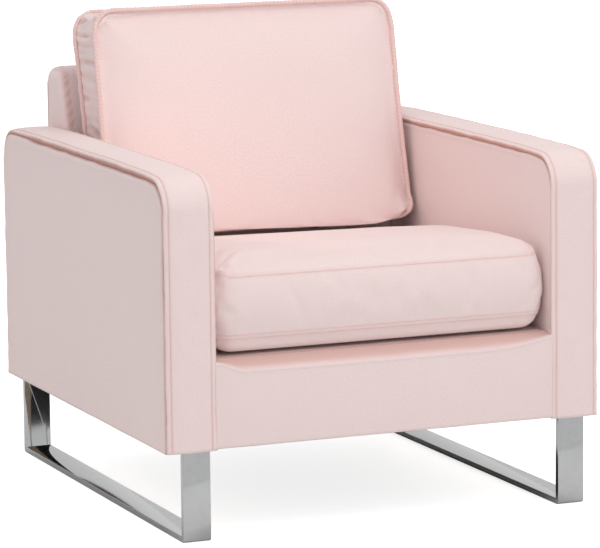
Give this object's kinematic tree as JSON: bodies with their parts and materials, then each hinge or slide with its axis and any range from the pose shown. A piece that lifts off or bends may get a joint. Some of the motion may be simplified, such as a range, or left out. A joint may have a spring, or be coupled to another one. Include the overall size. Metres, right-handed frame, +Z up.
{
  "type": "upholstered armchair",
  "caption": "Boxy upholstered armchair with loose seat and back cushions, slab arms and two flat chrome sled legs.",
  "frame": {"origin": "on the floor, under the middle of the chair's footprint", "axes": "+Z up; the sitter faces -Y, so the back is towards +Y; +X runs across the chair, to the right of someone looking at its front"},
  "size_m": [0.78, 0.83, 0.8278],
  "materials": {
    "upholstery_cloth": "matte",
    "cushion_cloth": "matte",
    "piping": "matte",
    "chrome": "polished",
    "steel": "satin",
    "timber": "matte",
    "foam": "matte",
    "webbing": "matte",
    "lining": "matte",
    "zip_tape": "satin",
    "zip_metal": "satin"
  },
  "bodies": {
    "chair": {"back_frame_cover": "upholstery_cloth", "back_lower_rail": "timber", "back_top_rail": "timber", "deck_cover": "upholstery_cloth", "deck_pad": "foam", "dust_cover": "lining", "front_rail": "timber", "front_rail_cover": "upholstery_cloth", "left_arm_band_cover": "upholstery_cloth", "left_arm_bottom_rail": "timber", "left_arm_front_post": "timber", "left_arm_inner_cover": "upholstery_cloth", "left_arm_outer_cover": "upholstery_cloth", "left_arm_rear_post": "timber", "left_arm_top_rail": "timber", "left_back_panel": "timber", "left_back_strap": "webbing", "left_front_arm_bolt": "steel", "left_front_corner_block": "timber", "left_front_leg_screw": "steel", "left_rear_arm_bolt": "steel", "left_rear_corner_block": "timber", "left_rear_leg_screw": "steel", "left_seat_rail": "timber", "left_sled_leg": "chrome", "rear_cover": "upholstery_cloth", "rear_rail": "timber", "right_arm_band_cover": "upholstery_cloth", "right_arm_bottom_rail": "timber", "right_arm_front_post": "timber", "right_arm_inner_cover": "upholstery_cloth", "right_arm_outer_cover": "upholstery_cloth", "right_arm_rear_post": "timber", "right_arm_top_rail": "timber", "right_back_panel": "timber", "right_back_strap": "webbing", "right_front_arm_bolt": "steel", "right_front_corner_block": "timber", "right_front_leg_screw": "steel", "right_rear_arm_bolt": "steel", "right_rear_corner_block": "timber", "right_rear_leg_screw": "steel", "right_seat_rail": "timber", "right_sled_leg": "chrome", "seat_spring_1": "steel", "seat_spring_2": "steel", "seat_spring_3": "steel", "seat_spring_4": "steel", "spring_rail": "timber"},
    "seat_cushion": {"seat_cushion_cover": "cushion_cloth", "seat_cushion_core": "foam", "seat_cushion_zip": "zip_tape"},
    "seat_zip_slider": {"seat_cushion_zip_slider": "zip_metal"},
    "back_cushion": {"back_cushion_cover": "cushion_cloth", "back_cushion_fill": "foam", "back_cushion_front_welt": "piping", "back_cushion_rear_welt": "piping", "back_cushion_zip": "zip_tape"},
    "back_zip_slider": {"back_cushion_zip_slider": "zip_metal"}
  },
  "joints": [
    {"name": "seat_cushion_slide", "type": "slide", "parent": "chair", "child": "seat_cushion", "axis": [0, -1, 0], "range_m": [0, 0.65]},
    {"name": "back_cushion_lift", "type": "slide", "parent": "chair", "child": "back_cushion", "axis": [0, 0.3173, 0.9483], "range_m": [0, 0.45]},
    {"name": "seat_zip", "type": "slide", "parent": "seat_cushion", "child": "seat_zip_slider", "axis": [1, 0, 0], "range_m": [0, 0.47]},
    {"name": "back_zip", "type": "slide", "parent": "back_cushion", "child": "back_zip_slider", "axis": [1, 0, 0], "range_m": [0, 0.42]}
  ]
}
